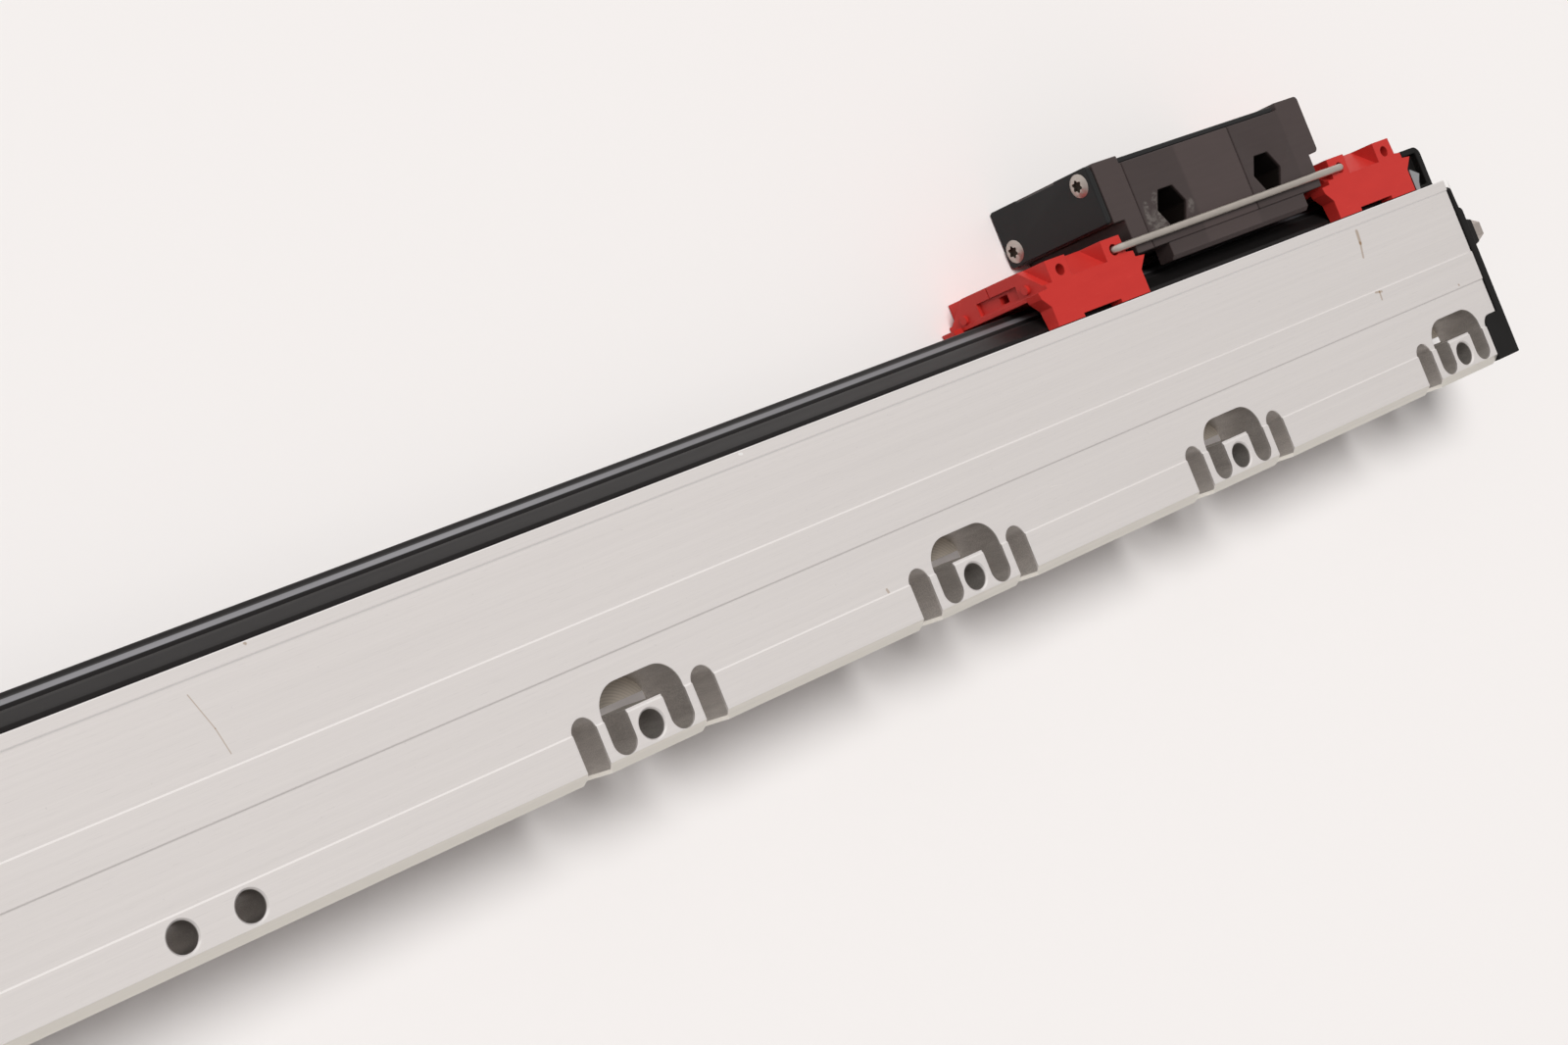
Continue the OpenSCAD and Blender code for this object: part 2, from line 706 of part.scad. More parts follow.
module led_emitter() {
    color([0.9, 0.85, 0.7]) translate([head_x, optics_y, arm_front_back + lens_depth + 0.4]) {
        cylinder(r = led_r, h = arm_front - arm_front_back - lens_depth - 0.4);
        translate([0, 0, arm_front - arm_front_back - lens_depth - 0.4]) cylinder(r = led_r + 0.4, h = 0.6);
    }
}

module condenser_lens() {
    lens_curve = 6;
    color([0.8, 0.9, 0.95, 0.6]) translate([head_x, optics_y, arm_front_back]) intersection() {
        cylinder(r = lens_r, h = lens_depth);
        translate([0, 0, lens_depth - lens_curve]) sphere(lens_curve);
    }
}

module scanning_reticle() {
    color([0.8, 0.9, 0.9, 0.6])
        translate([head_x - reticle.x / 2, optics_y - reticle.y / 2, arm_back_front - reticle.z + 0.4])
            cube(reticle);
}

module photocell_board() {
    color([0.1, 0.3, 0.2])
        translate([head_x - cell_board.x / 2, optics_y - cell_board.y / 2, arm_back - cell_board.z])
            cube(cell_board);
    color([0.1, 0.1, 0.1]) translate([head_x - 4, optics_y - 2.5, arm_back - eps]) cube([8, 5, 2]);
}

module roller_pins() {
    color([0.75, 0.75, 0.75]) {
        for (s = [-1, 1]) translate([head_x + s * roller_x, edge_y, edge_z - 4.5])
            cylinder(r = pin_r, h = 9);
        for (p = face_places) translate([head_x + p.x, p.y - 3.5, face_z]) rotate([-90, 0, 0])
            cylinder(r = pin_r, h = 7);
    }
}

module roller() {
    color([0.6, 0.6, 0.62]) translate([0, 0, -roller_w / 2]) difference() {
        cylinder(r = roller_r, h = roller_w);
        translate([0, 0, -1]) cylinder(r = roller_bore, h = roller_w + 2);
    }
}

module face_roller(n) {
    translate([head_x + face_places[n].x, face_places[n].y, face_z]) rotate([-90, 0, 0]) roller();
}

module edge_roller(s) {
    translate([head_x + s * roller_x, edge_y, edge_z]) roller();
}

module face_roller_1() { face_roller(0); }
module face_roller_2() { face_roller(1); }
module face_roller_3() { face_roller(2); }
module edge_roller_1() { edge_roller(-1); }
module edge_roller_2() { edge_roller(1); }

// ---- Transport brace ----

// Side outline of a block, as [distance from its middle, height above the housing]
function block_side() = [
    [block_w / 2, block_gap], [block_w / 2, head_gap - 4], [block_w / 2 + 3.1, head_gap - 0.7],
    [block_w / 2 - 0.3, head_gap - 0.4], [block_w / 2 - 0.4, head_gap + 1.2],
    [block_w / 2 - 2.9, head_gap + 1.5], [block_w / 2 - 3.2, block_h], [-tab_end, block_h],
    [-tab_end, head_gap - 0.4], [-block_w / 2 - 1.5, head_gap - 0.6],
    [-block_w / 2 - 1.1, head_gap - 2.4], [1.2 - block_w / 2, head_gap - 5],
    [1.2 - block_w / 2, block_gap]];

module block_outline() {
    difference() {
        translate([0, body_top]) polygon(block_side());
        span([-foot_notch_half, block_base - 1], [foot_notch_half, block_base + 1]);
        for (s = [-1, 1]) translate([wire_hole_shift + s * wire_hole_half, wire_y]) circle(wire_hole_r);
    }
}

// Corner cut from the front top edge, from x0 to x1
module scoop(x0, x1) {
    run_x(x0, x1)
        polygon([[block_top - 5.5, 1], [block_top - 5.5, -1], [block_top + 1, -9], [block_top + 1, 1]]);
}

module scoops() {
    scoop(wire_hole_shift - 7, wire_hole_shift + 6.5);
    scoop(-tab_end - 1, wire_hole_shift - wire_hole_half - wire_hole_r - 2.7);
}

// Recess, hole and parting line in the left end face of a block
module end_marks() {
    translate([-tab_end - 1, head_bottom, -10 - recess.z]) cube([recess.x + 1, recess.y, recess.z]);
    translate([-tab_end - 1, head_bottom + 0.5, -14.6 - recess_hole.z])
        cube([recess_hole.x + 1, recess_hole.y, recess_hole.z]);
    translate([-tab_end - 1, head_bottom + 1, -20])
        cube([1 + parting_w, block_top - head_bottom, parting_w]);
}

module brace_block(x) {
    color([0.77, 0.2, 0.17]) translate([x, 0, 0]) {
        difference() {
            run_z(-block_depth, 0) block_outline();
            run_x(-block_w, block_w) polygon([[block_base - 1, -cheek], [tunnel_top, -cheek_top],
                [tunnel_top, cheek_top - cheek_back - block_depth],
                [block_base - 1, cheek - cheek_back - block_depth]]);
            for (ends = [[-block_w, -tab_end - 0.3], [block_w / 2, block_w]]) run_x(ends[0], ends[1])
                span([tunnel_top - 1, cheek_top - cheek_back - block_depth], [head_bottom, -cheek_top]);
            scoops();
            translate([0, 0, -block_depth]) mirror([0, 0, 1]) scoops();
            end_marks();
        }
        for (p = peg_points) translate([-tab_end - peg_h, body_top + p.x, p.y]) rotate([0, 90, 0])
            cylinder(r = peg_r, h = peg_h + 1);
    }
}

module brace_block_left() { brace_block(head_x - block_offset); }
module brace_block_right() { brace_block(head_x + block_offset); }

module locking_wire() {
    x0 = head_x - block_offset + wire_hole_shift + wire_hole_half;
    x1 = head_x + block_offset + wire_hole_shift - wire_hole_half;
    color([0.66, 0.63, 0.59]) translate([0, wire_y, wire_front]) {
        translate([x0 + wire_bend_r, 0, 0]) rotate([0, 90, 0])
            cylinder(d = wire_d, h = x1 - x0 - 2 * wire_bend_r);
        for (end = [[x0, 1], [x1, -1]]) translate([end[0], 0, -wire_bend_r]) {
            translate([0, 0, -wire_leg]) cylinder(d = wire_d, h = wire_leg);
            translate([end[1] * wire_bend_r, 0, 0]) rotate([90, 0, 0]) rotate(end[1] > 0 ? 90 : 0)
                rotate_extrude(angle = 90) translate([wire_bend_r, 0]) circle(d = wire_d);
        }
    }
}

housing();
glass_scale();
scale_bond();
lip_front();
lip_back();
end_cap_right();
end_cap_left();
end_gasket_right();
end_gasket_left();
cap_screws();
air_plugs();
lip_clips();
mounting_block();
head_lid();
end_cover();
cover_gasket();
cover_screws();
cable_socket();
socket_pins();
head_board();
coupling_blade();
coupling_wire();
carriage();
led_emitter();
condenser_lens();
scanning_reticle();
photocell_board();
roller_pins();
face_roller_1();
face_roller_2();
face_roller_3();
edge_roller_1();
edge_roller_2();
brace_block_left();
brace_block_right();
locking_wire();
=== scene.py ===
import json
import math
import bmesh
import bpy
import numpy as np
from mathutils import Matrix, Vector


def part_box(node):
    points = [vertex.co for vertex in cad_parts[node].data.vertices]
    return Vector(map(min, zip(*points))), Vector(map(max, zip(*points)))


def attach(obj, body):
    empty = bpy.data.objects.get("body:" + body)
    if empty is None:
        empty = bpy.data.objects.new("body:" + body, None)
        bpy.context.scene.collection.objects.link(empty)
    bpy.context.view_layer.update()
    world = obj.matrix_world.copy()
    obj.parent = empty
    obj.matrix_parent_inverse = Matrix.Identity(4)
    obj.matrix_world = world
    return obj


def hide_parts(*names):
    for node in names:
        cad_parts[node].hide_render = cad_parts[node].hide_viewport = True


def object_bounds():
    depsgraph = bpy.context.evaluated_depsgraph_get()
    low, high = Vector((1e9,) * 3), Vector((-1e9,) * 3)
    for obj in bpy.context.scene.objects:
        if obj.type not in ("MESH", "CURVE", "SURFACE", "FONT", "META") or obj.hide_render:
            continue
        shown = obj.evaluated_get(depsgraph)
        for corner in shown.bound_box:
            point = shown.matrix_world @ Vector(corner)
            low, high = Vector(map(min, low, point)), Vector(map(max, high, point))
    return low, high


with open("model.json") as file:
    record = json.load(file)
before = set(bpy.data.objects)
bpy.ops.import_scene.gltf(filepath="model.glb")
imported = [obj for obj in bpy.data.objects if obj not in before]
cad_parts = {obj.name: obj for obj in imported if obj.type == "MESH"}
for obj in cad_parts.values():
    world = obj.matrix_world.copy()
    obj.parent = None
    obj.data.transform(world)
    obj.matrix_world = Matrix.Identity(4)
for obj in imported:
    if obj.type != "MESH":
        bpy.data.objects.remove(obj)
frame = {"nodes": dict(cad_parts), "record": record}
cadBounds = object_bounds()
nodes = frame["nodes"]

cameraSettings = {
    "place": (-0.22842, 0.0321, 0.48194),  # metres, in the frame of the scale
    "sight": (0.62802, -0.00598, -0.77817),
    "up": (0.29626, 0.92651, 0.23198),
    "lens": 64.3,
    "sensor": 36,
    "clip": (0.02, 40),
}


def addObject(name, data):
    thing = bpy.data.objects.new(name, data)
    bpy.context.scene.collection.objects.link(thing)
    return thing


def makeCamera(s):
    back = -Vector(s["sight"]).normalized()
    right = Vector(s["up"]).cross(back).normalized()
    data = bpy.data.cameras.new("camera")
    data.lens, data.sensor_width, data.sensor_fit = s["lens"], s["sensor"], "HORIZONTAL"
    data.clip_start, data.clip_end = s["clip"]
    camera = addObject("camera", data)
    turn = Matrix((right, back.cross(right), back)).transposed().to_4x4()
    camera.matrix_world = Matrix.Translation(s["place"]) @ turn
    bpy.context.scene.camera = camera


# One socket of a shader tree: arithmetic on it adds Math nodes, and make() adds any other node
class Wire:
    def __init__(self, tree, socket=None):
        self.tree, self.socket = tree, socket

    def make(self, kind, settings=None, inputs=None, output=0):
        node = self.tree.nodes.new(kind)
        for name, value in (settings or {}).items():
            setattr(node, name, value)
        for name, value in (inputs or {}).items():
            if isinstance(value, Wire):
                self.tree.links.new(value.socket, node.inputs[name])
            else:
                node.inputs[name].default_value = value
        return Wire(self.tree, node.outputs[output] if node.outputs else None)

    def combine(self, operation, a, b):
        return self.make("ShaderNodeMath", {"operation": operation}, {0: a, 1: b})

    # The X, Y and Z parts of a vector
    def split(self):
        parts = self.tree.nodes.new("ShaderNodeSeparateXYZ")
        self.tree.links.new(self.socket, parts.inputs[0])
        return [Wire(self.tree, part) for part in parts.outputs]

    def __add__(self, other): return self.combine("ADD", self, other)
    def __radd__(self, other): return self.combine("ADD", other, self)
    def __sub__(self, other): return self.combine("SUBTRACT", self, other)
    def __rsub__(self, other): return self.combine("SUBTRACT", other, self)
    def __mul__(self, other): return self.combine("MULTIPLY", self, other)
    def __rmul__(self, other): return self.combine("MULTIPLY", other, self)
    def __truediv__(self, other): return self.combine("DIVIDE", self, other)
    def __abs__(self): return self.make("ShaderNodeMath", {"operation": "ABSOLUTE"}, {0: self})
    def squareRoot(self): return self.make("ShaderNodeMath", {"operation": "SQRT"}, {0: self})
    def least(self, other): return self.combine("MINIMUM", self, other)
    def most(self, other): return self.combine("MAXIMUM", self, other)


# Goes smoothly from start to end while the value goes from low to high
def ramp(value, low, high, start=0.0, end=1.0):
    return value.make("ShaderNodeMapRange", {"interpolation_type": "SMOOTHSTEP", "clamp": True},
                      {0: value, 1: low, 2: high, 3: start, 4: end})


# One between low and high, and nothing a soft width outside them
def band(value, low, high, soft):
    return ramp(value, low - soft, low) * ramp(value, high, high + soft, 1.0, 0.0)


def blendColour(factor, a, b):
    return factor.make("ShaderNodeMix", {"data_type": "RGBA"}, {0: factor, 6: a, 7: b}, 2)


# The colour times a value that lies around one
def shadeColour(colour, value):
    factor = value.make("ShaderNodeCombineColor", {}, {0: value, 1: value, 2: value})
    return value.make("ShaderNodeMix", {"data_type": "RGBA", "blend_type": "MULTIPLY"},
                      {0: 1.0, 6: colour, 7: factor}, 2)


# A material in the making: the place on the piece in metres, and the three parts of it
class Finish:
    def __init__(self, name):
        self.material = bpy.data.materials.new(name)
        self.material.use_nodes = True
        self.material.node_tree.nodes.clear()
        self.root = Wire(self.material.node_tree)
        self.place = self.root.make("ShaderNodeTexCoord", output="Object")
        self.x, self.y, self.z = self.place.split()

    # Noise whose grains measure the given size in metres, a number or three along X, Y and Z
    def noise(self, size, detail=2.0, roughness=0.5, turn=(0, 0, 0), shift=(0, 0, 0)):
        size = (size, size, size) if isinstance(size, (int, float)) else size
        scaled = self.root.make("ShaderNodeMapping", {"vector_type": "POINT"}, {
            "Vector": self.place, "Scale": tuple(1 / side for side in size),
            "Rotation": turn, "Location": shift})
        return self.root.make("ShaderNodeTexNoise", {}, {
            "Vector": scaled, "Scale": 1.0, "Detail": detail, "Roughness": roughness})

    # Raises the surface by the height, which runs from 0 to 1, times the depth in metres
    def bump(self, height, depth, under=None):
        inputs = {"Height": height, "Strength": 1.0, "Distance": depth}
        if under:
            inputs["Normal"] = under
        return self.root.make("ShaderNodeBump", {}, inputs)

    def done(self, **inputs):
        named = {key.replace("_", " "): value for key, value in inputs.items()}
        shader = self.root.make("ShaderNodeBsdfPrincipled", {}, named)
        self.root.make("ShaderNodeOutputMaterial", {}, {"Surface": shader})
        return self.material


# A nearly neutral colour, which warm shifts towards brown
def grey(level, warm=0.0):
    return (level * (1 + warm), level, level * (1 - warm), 1)


floorSettings = {
    "half": 12.0,
    "drop": 0.00005,   # how far it lies under the resting face
    "colour": (0.93, 0.908, 0.905, 1),
}

lightSettings = {
    "sky": 0.35,                       # strength of the soft surroundings on matt surfaces
    "skyColour": (1, 0.965, 0.94, 1),
    "seen": (0.915, 0.882, 0.872, 1),  # colour of the background
    "away": 0.74,                      # how bright the surroundings are on the side away from the lamp
    "low": 0.74,                       # and near the horizon, as metal mirrors them
    "sun": 2.28,
    "sunFrom": (-0.26, 0.3, 0.92),
    "sunSpread": 28,                   # degrees
    "sunColour": (1, 0.99, 0.975),
}


def makeFloor(s):
    corners = np.array([(-1, -1), (1, -1), (1, 1), (-1, 1)]) * s["half"]
    points = np.column_stack([corners, np.full(4, cadBounds[0].z - s["drop"])])
    mesh = bpy.data.meshes.new("floor")
    mesh.from_pydata(points, [], [(0, 1, 2, 3)])
    paper = Finish("floorPaper").done(Base_Color=s["colour"], Roughness=1.0, Specular_IOR_Level=0.0)
    mesh.materials.append(paper)
    addObject("floor", mesh)


# White surroundings, a little dimmer on the near side, and one soft lamp from the far side
def makeLight(s):
    world = bpy.data.worlds.new("studio")
    bpy.context.scene.world = world
    world.use_nodes = True
    world.node_tree.nodes.clear()
    root = Wire(world.node_tree)
    side, up = root.make("ShaderNodeTexCoord", output="Generated").split()[1:]
    glow = ramp(side, -0.9, 0.5, s["away"], 1.0)
    toned = glow * ramp(up, 0.5, 0.95, s["low"], 1.0).most(ramp(side, 0.3, 0.6))
    sky = root.make("ShaderNodeBackground", {}, {"Color": s["skyColour"], "Strength": glow * s["sky"]})
    mirrored = root.make("ShaderNodeBackground", {}, {"Color": s["seen"], "Strength": toned})
    seen = root.make("ShaderNodeBackground", {}, {"Color": s["seen"], "Strength": 1.0})
    path = {name: root.make("ShaderNodeLightPath", output=name)
            for name in ("Is Camera Ray", "Is Glossy Ray", "Is Transmission Ray")}
    matt = root.make("ShaderNodeMixShader", {}, {0: path["Is Glossy Ray"], 1: sky, 2: mirrored})
    direct = (path["Is Camera Ray"] + path["Is Transmission Ray"]).least(1.0)
    both = root.make("ShaderNodeMixShader", {}, {0: direct, 1: matt, 2: seen})
    root.make("ShaderNodeOutputWorld", {}, {"Surface": both})
    sun = bpy.data.lights.new("softLamp", "SUN")
    sun.energy, sun.angle = s["sun"], math.radians(s["sunSpread"])
    sun.color = s["sunColour"]
    lamp = addObject("softLamp", sun)
    lamp.rotation_mode = "QUATERNION"
    lamp.rotation_quaternion = Vector(s["sunFrom"]).to_track_quat("Z", "Y")
    lamp.visible_glossy = False   # metal mirrors the surroundings alone, so it keeps its tone from every side


makeCamera(cameraSettings)
makeFloor(floorSettings)
makeLight(lightSettings)
bpy.context.scene.view_settings.view_transform = "Standard"
print("camera, floor and light set")

aluminiumSettings = {
    "colour": (0.86, 0.832, 0.812, 1),
    "wallColour": (0.51, 0.475, 0.445, 1),    # milled walls of the pockets, their darkness painted shade
    "bottomColour": (0.66, 0.6, 0.52, 1),     # their bottoms, with the cutter's rings
    "holeRadius": 0.0034,
    # near white of the broken edges and of the painted highlights on the step slopes and the top edge
    "edgeColour": (0.98, 0.96, 0.945, 1),
    # darker, warmer colour of the chamfer that faces down: painted shade
    "chamferColour": (0.83, 0.8, 0.74, 1),
    "markColour": (0.4, 0.27, 0.16, 1),       # brown marks of handling
    "fine": (0.045, 0.00028, 0.00028),        # length and width of the finest brush marks
    "coarse": (0.16, 0.0011, 0.0011),
    "edge": 0.00022,                          # width of the broken edges
    "pitch": 0.1,                             # of the pockets, from the first hole
    "firstHole": 0.0075,
    "pocketHalf": 0.0203,
    "pocketTop": 0.0117,
    "pocketDepth": 0.0152,
    "ringPitch": 0.0007,
}

# Marks on the face, as (start, end, half width, tone): millimetres from the middle of the first pair of holes,
# brown where the tone is below zero and pale where it is above
handlingMarks = [
    ((11.7, 41.1), (14.4, 33.3), 0.13, -0.5),
    ((14.4, 33.3), (15.5, 27.8), 0.13, -0.5),
    ((383.9, 42.2), (383.5, 39.0), 0.6, -0.6),
    ((383.5, 39.0), (382.4, 35.1), 0.4, -0.5),
    ((381.2, 25.0), (383.9, 24.6), 0.3, -0.5),
    ((382.9, 24.8), (382.7, 22.6), 0.32, -0.5),
    ((156.1, 46.1), (156.8, 45.9), 0.3, 0.8),
    ((181.1, 5.5), (181.3, 4.8), 0.35, -0.5),
    ((26.6, 46.4), (26.8, 46.2), 0.3, -0.6),
    ((402.6, -4.6), (404.0, -4.4), 0.4, -0.5),
    ((416.2, 18.1), (416.4, 17.9), 0.28, -0.6),
    ((-63.0, 30.2), (-58.5, 31.0), 0.07, -0.25),
    ((241.0, 12.0), (244.6, 11.4), 0.08, 0.3),
]


# Nearness to a line between two points of the face, in millimetres: one up to half of its half width away,
# nothing from 1.4 times its half width on
def stroke(f, start, end, half):
    (x0, y0), (x1, y1) = ([value / 1000 for value in point] for point in (start, end))
    dx, dy = x1 - x0, y1 - y0
    away, up = f.x - x0, f.y - y0
    along = ((away * dx + up * dy) / (dx * dx + dy * dy)).most(0.0).least(1.0)
    offX, offY = away - along * dx, up - along * dy
    reach = (offX * offX + offY * offY).squareRoot()
    return ramp(reach, half / 2000, half / 700, 1.0, 0.0)


# Extruded and brushed along the scale, with milled pockets and marks of handling; pale broken edges with a
# painted highlight, painted highlights on the step slopes and top edge, painted shade on the pocket walls,
# holes and down-facing chamfer, and a painted glint on the pocket floors
def brushedAluminium(s):
    f = Finish("brushedAluminium")
    fine, coarse = f.noise(s["fine"], 3, 0.6), f.noise(s["coarse"], 3, 0.55)
    drift = f.noise((0.3, 0.02, 0.02), 2, shift=(3, 1, 0))
    crossed = ramp(f.noise((0.006, 0.0001, 0.0003), 1, turn=(0, 0, 1.1), shift=(2, 0, 5)), 0.66, 0.76)
    fleck = ramp(f.noise(0.0011, 1, shift=(7, 3, 1)), 0.76, 0.82)
    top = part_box("housing")[1].y
    around = abs(f.x) - s["firstHole"]
    across = around.make("ShaderNodeMath", {"operation": "WRAP"},
                         {0: around, 1: s["pitch"] / 2, 2: -s["pitch"] / 2})
    deep = (ramp(f.z, -0.0009, -0.0004, 1.0, 0.0)
            * ramp(f.z, -s["pocketDepth"] - 0.0003, -s["pocketDepth"] - 0.0001))
    inRow = ramp(around, s["pitch"] / 2, s["pitch"] * 0.6)
    milled = (deep * inRow * ramp(f.y, s["pocketTop"], s["pocketTop"] + 0.0002, 1.0, 0.0)
              * band(across, -s["pocketHalf"], s["pocketHalf"], 0.0003))
    reach = (across * across + f.y * f.y).squareRoot()
    turns = reach / s["ringPitch"]
    rings = turns.make("ShaderNodeMath", {"operation": "FRACT"}, {0: turns})
    bottom = milled * ramp(f.z, -s["pocketDepth"] + 0.0002, -s["pocketDepth"] + 0.0005, 1.0, 0.0)
    marks, pale = 0.0, 0.0
    for start, end, half, level in handlingMarks:
        if level < 0:
            marks = stroke(f, start, end, half) * -level + marks
        else:
            pale = stroke(f, start, end, half) * level + pale
    onFace = ramp(f.z, -0.0008, -0.0004)
    tone = (0.9 + 0.07 * fine + 0.08 * coarse + 0.05 * drift - 0.1 * crossed * onFace - 0.06 * fleck * onFace
            + 0.3 * pale * onFace)
    metal = shadeColour(s["colour"], tone)
    metal = blendColour((marks * onFace).least(1.0), metal, s["markColour"])
    facing = f.root.make("ShaderNodeNewGeometry", output="Normal")
    tilt = facing.split()[1]
    onStep = ramp(f.z, -0.0012, -0.0008)
    # painted highlight: near the face, slopes of the steps that look towards +Y are lightened, fading along
    # the scale, so are slopes that look towards -Y above about 30 mm, and so is a thin line along the top edge
    slopeHighlight = (ramp(tilt, 0.3, 0.5) * ramp(f.x, 0.0, 0.38, 1.0, 0.35)
                + ramp(tilt, -0.3, -0.5) * ramp(f.y, 0.03, 0.031))
    metal = blendColour(slopeHighlight.most(ramp(f.y, top - 0.00035, top - 0.00015)) * onStep,
                        metal, s["edgeColour"])
    # painted shade: the chamfer that faces down, picked by its normal, takes a darker, warmer colour
    chamfer = band(tilt, -0.85, -0.5, 0.05) * ramp(f.y, -0.003, -0.002, 1.0, 0.0)
    metal = blendColour(chamfer, metal, shadeColour(s["chamferColour"], 0.9 + 0.16 * coarse))
    milled = milled * (1 - chamfer)
    chatter, speckle = f.noise((0.0009, 0.0009, 0.004), 2), ramp(f.noise(0.00022, 2), 0.35, 0.7)
    bore = deep * ramp(reach, s["holeRadius"], s["holeRadius"] + 0.0002, 1.0, 0.0)
    # painted shade: the milled walls of the pockets take a colour darker than the face, and the walls of the
    # holes about a third darker again
    shadedWall = shadeColour(s["wallColour"], (0.68 + 0.36 * chatter + 0.3 * speckle) * (1 - 0.32 * bore))
    # painted reflection: the pocket floors are lighter and darker four times around each pocket, as a radial
    # glint over the cutter's rings
    angle = f.y.combine("ARCTAN2", f.y, across)
    glintSweep = angle.make("ShaderNodeMath", {"operation": "COSINE"}, {0: angle * 4})
    floorTone = shadeColour(s["bottomColour"], 0.72 + 0.24 * rings - 0.16 * glintSweep)
    metal = blendColour(bottom, blendColour(milled.most(bore), metal, shadedWall), floorTone)
    # the broken edges are blended towards near white: paler deburred metal, with a painted highlight on top
    rounded = f.root.make("ShaderNodeBevel", {"samples": 4}, {"Radius": s["edge"]})
    alike = rounded.make("ShaderNodeVectorMath", {"operation": "DOT_PRODUCT"}, {0: rounded, 1: facing}, 1)
    edge = ramp(alike, 0.8, 0.985, 0.8, 0.0)
    metal = blendColour(edge, metal, s["edgeColour"])
    height = fine * 0.6 + coarse * 0.4 - 0.5 * crossed * onFace
    brushed = f.bump(height, 0.000004, rounded)
    return f.done(Base_Color=metal, Metallic=0.8 - 0.35 * milled,
                  Normal=f.bump(rings * bottom, 0.00002, brushed),
                  Roughness=0.38 + 0.12 * fine - 0.1 * edge + 0.08 * milled)


# Dark finish with a fine even grain
def blackAnodised(name, level, warm, roughness=0.42, gloss=0.4):
    f = Finish(name)
    grain = f.noise(0.00025, 2)
    cloud = f.noise(0.012, 3)
    tone = 0.82 + 0.14 * grain + 0.22 * cloud
    return f.done(Base_Color=shadeColour(grey(level, warm), tone), Specular_IOR_Level=gloss,
                  Roughness=roughness + 0.12 * cloud - 0.06, Normal=f.bump(grain, 0.000012))


headSettings = {
    "colour": (0.05, 0.0365, 0.035, 1),
    "nuts": [(-0.02, 0.0657), (0.02, 0.0657)],   # nut pockets, along from the middle of the head, and up
    "nutReach": 0.0062,
    # tones across the face, as (start, end, times), along from the middle of the head
    "zones": [(-0.05, -0.0321, 1.06), (-0.0321, -0.0114, 0.86), (-0.0114, 0.0109, 1.16),
              (0.0109, 0.0322, 0.86), (0.0322, 0.05, 1.02)],
    "scuffColour": (0.27, 0.25, 0.23, 1),
    # near black of the painted shade in the nut pockets
    "hollowColour": (0.008, 0.006, 0.005, 1),
    "scuffs": [((309.3, 61.2), (311.4, 64.6), 1.6), ((310.6, 60.8), (313.2, 62.4), 1.2),
               ((324.6, 63.2), (325.6, 64.9), 1.0), ((312.6, 68.4), (313.6, 69.8), 0.9),
               ((312.9, 64.2), (313.7, 67.4), 0.8), ((308.2, 63.6), (309.0, 68.0), 0.9)],
}


# Black anodised and handled: zones of tone across the face, pale scuffs by the left nut pocket, and painted
# shade in the nut pockets
def wornHead(s):
    f = Finish("headBlack")
    low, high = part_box("mounting_block")
    middle = (low.x + high.x) / 2
    grain, cloud = f.noise(0.00022, 2), f.noise(0.009, 3)
    rubbed = f.noise((0.012, 0.0012, 0.0012), 2, turn=(0, 0, 0.5))
    zone = 1.0
    for start, end, level in s["zones"]:
        zone = band(f.x, middle + start, middle + end, 0.0006) * (level - 1) + zone
    face = ramp(f.z, -0.0006, -0.0003)
    tone = (zone - 1) * face + 0.8 + 0.16 * grain + 0.2 * cloud + 0.1 * rubbed
    scuffs = 0.0
    for start, end, half in s["scuffs"]:
        scuffs = stroke(f, start, end, half) + scuffs
    patches = ramp(f.noise((0.0022, 0.0012, 0.0012), 4, 0.7, (0, 0, 0.9)), 0.36, 0.66)
    scuffs = (scuffs * patches * face).least(1.0)
    colour = shadeColour(s["colour"], tone)
    colour = blendColour(scuffs * 0.36, colour, s["scuffColour"])
    # painted shade: the nut pockets, below the face, are filled with near black
    hollow = 0.0
    for at in s["nuts"]:
        away = abs(f.x - middle - at[0]).most(abs(f.y - at[1]))
        hollow = ramp(away, s["nutReach"], s["nutReach"] + 0.0002, 1.0, 0.0) + hollow
    pocketShade = hollow.least(1.0) * ramp(f.z, -0.0012, -0.0004, 1.0, 0.0)
    colour = blendColour(pocketShade, colour, s["hollowColour"])
    return f.done(Base_Color=colour, Specular_IOR_Level=0.38, Roughness=0.5 + 0.12 * cloud - 0.06 * rubbed,
                  Normal=f.bump(grain, 0.000012))


lipSettings = {   # millimetres: height over the top edge of the housing, depth behind its face
    "section": [(-2.6, 10), (-2.6, 3.3), (-1.4, 3.3), (-1.4, 4.3), (1.0, 4.3), (1.3, 4.55), (4.0, 9.3),
                (4.25, 9.7), (4.15, 10.1), (3.6, 10.5), (3.7, 11.0), (4.9, 11.35), (5.35, 11.7), (6.6, 15.6),
                (7.6, 16.5), (7.8, 17.05), (7.6, 17.7), (6.9, 17.95), (5.3, 17.95), (3.9, 15.5), (2.5, 12.7),
                (1.0, 10.0)],
    "crest": 8.0,        # height of the crest, whose edge wanders a little along the scale
    "wander": 0.06,
    "sines": (0.031, 0.0127),   # metres of the scale to one radian of each sine that moves the crest
    "stations": 180,
    "rounding": 2,       # times that the corners of the section are cut
    "cut": 0.2,
    "colour": (0.0115, 0.0105, 0.0105, 1),
    "shine": (5.35, 6.35, (0.3, 0.3, 0.325, 1)),   # low and high side of the painted highlight near the crest, and its colour
    # the same for the painted highlight on the ridge before the groove
    "shelf": (3.85, 4.3, (0.03, 0.028, 0.028, 1)),
    "dustColour": (0.2, 0.18, 0.16, 1),
}


